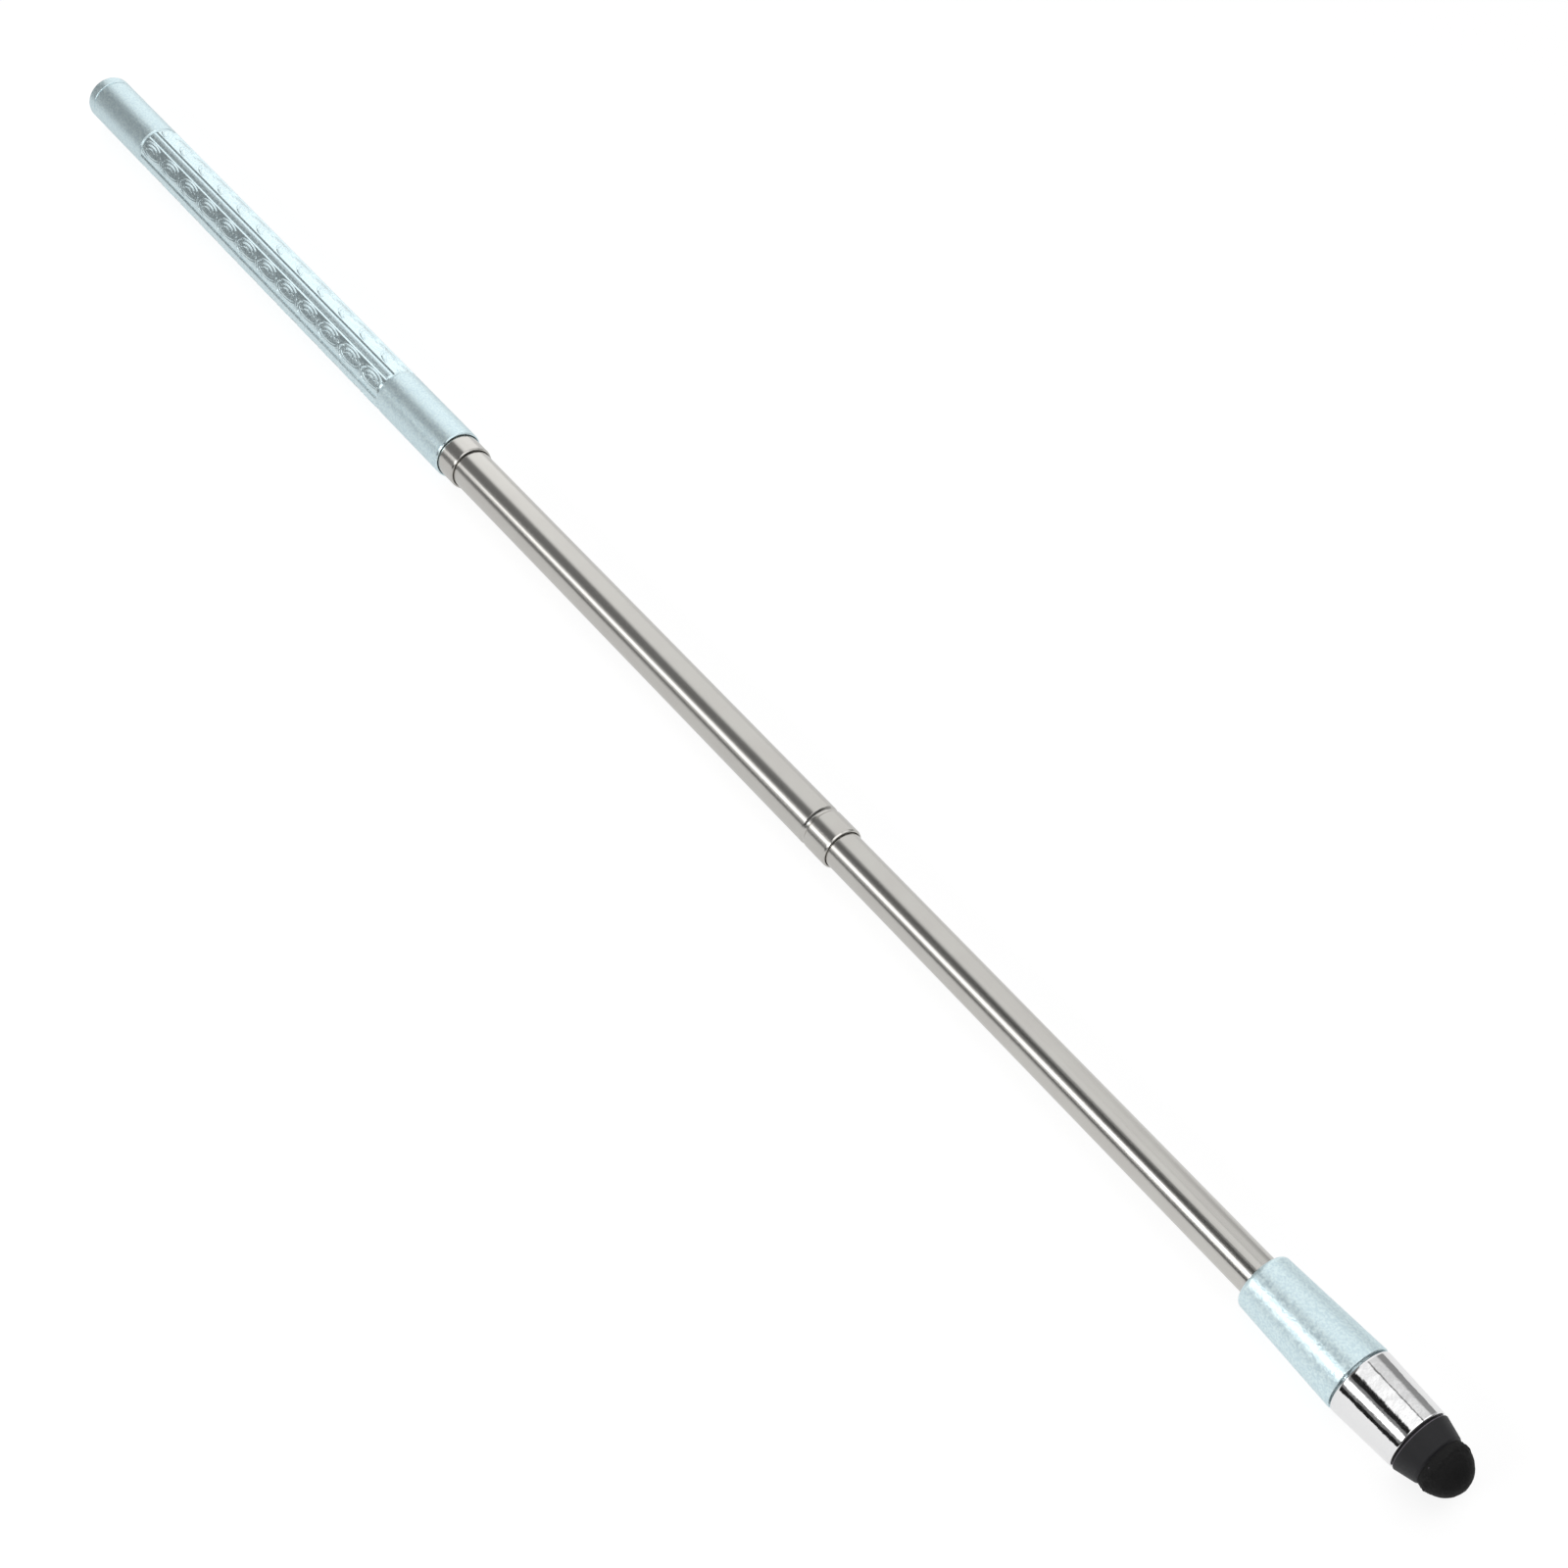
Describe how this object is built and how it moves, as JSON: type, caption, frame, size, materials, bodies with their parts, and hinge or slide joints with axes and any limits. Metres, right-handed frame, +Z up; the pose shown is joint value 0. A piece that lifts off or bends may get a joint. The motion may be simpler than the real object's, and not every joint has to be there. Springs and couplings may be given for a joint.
{
  "type": "telescopic capacitive stylus",
  "caption": "Telescopic touch-screen stylus: engraved aluminium handle, sliding stainless tubes, flared tip holder, chrome ferrule and round black conductive nib.",
  "frame": {"origin": "centre of the flat tail face, on the stylus axis", "axes": "+X along the stylus axis towards the nib, +Z up with the stylus lying on a table"},
  "size_m": [0.4095, 0.0116, 0.0116],
  "materials": {
    "anodised_aluminium": "satin anodised, pale aqua",
    "stainless_steel": "polished along the tube, fine draw lines",
    "chrome_plate": "mirror chrome plate on brass",
    "phosphor_bronze": "rolled bronze strip",
    "turned_brass": "turned brass",
    "black_rubber": "moulded, matt",
    "conductive_rubber": "slightly rough, matt black"
  },
  "bodies": {
    "handle": {"handle_barrel": "anodised_aluminium", "tail_cap": "anodised_aluminium", "outer_tube": "stainless_steel"},
    "middle_shims": {"middle_shim_top": "phosphor_bronze", "middle_shim_bottom": "phosphor_bronze"},
    "middle": {"middle_tube": "stainless_steel"},
    "tip_shims": {"tip_shim_top": "phosphor_bronze", "tip_shim_bottom": "phosphor_bronze"},
    "tip": {"inner_tube": "stainless_steel", "tip_stud": "turned_brass", "tip_holder": "anodised_aluminium", "ferrule": "chrome_plate", "nib_stem": "turned_brass", "nib_skirt": "black_rubber", "nib_ball": "conductive_rubber"}
  },
  "joints": [
    {"name": "middle_slide", "type": "slide", "parent": "handle", "child": "middle_shims", "axis": [1, 0, 0], "range_m": [-0.1162, 0]},
    {"name": "middle_turn", "type": "hinge", "parent": "middle_shims", "child": "middle", "pos_m": [0.137, 0, 0], "axis": [1, 0, 0], "continuous": true},
    {"name": "tip_slide", "type": "slide", "parent": "middle", "child": "tip_shims", "axis": [1, 0, 0], "range_m": [-0.1014, 0]},
    {"name": "tip_turn", "type": "hinge", "parent": "tip_shims", "child": "tip", "pos_m": [0.253, 0, 0], "axis": [1, 0, 0], "continuous": true}
  ]
}
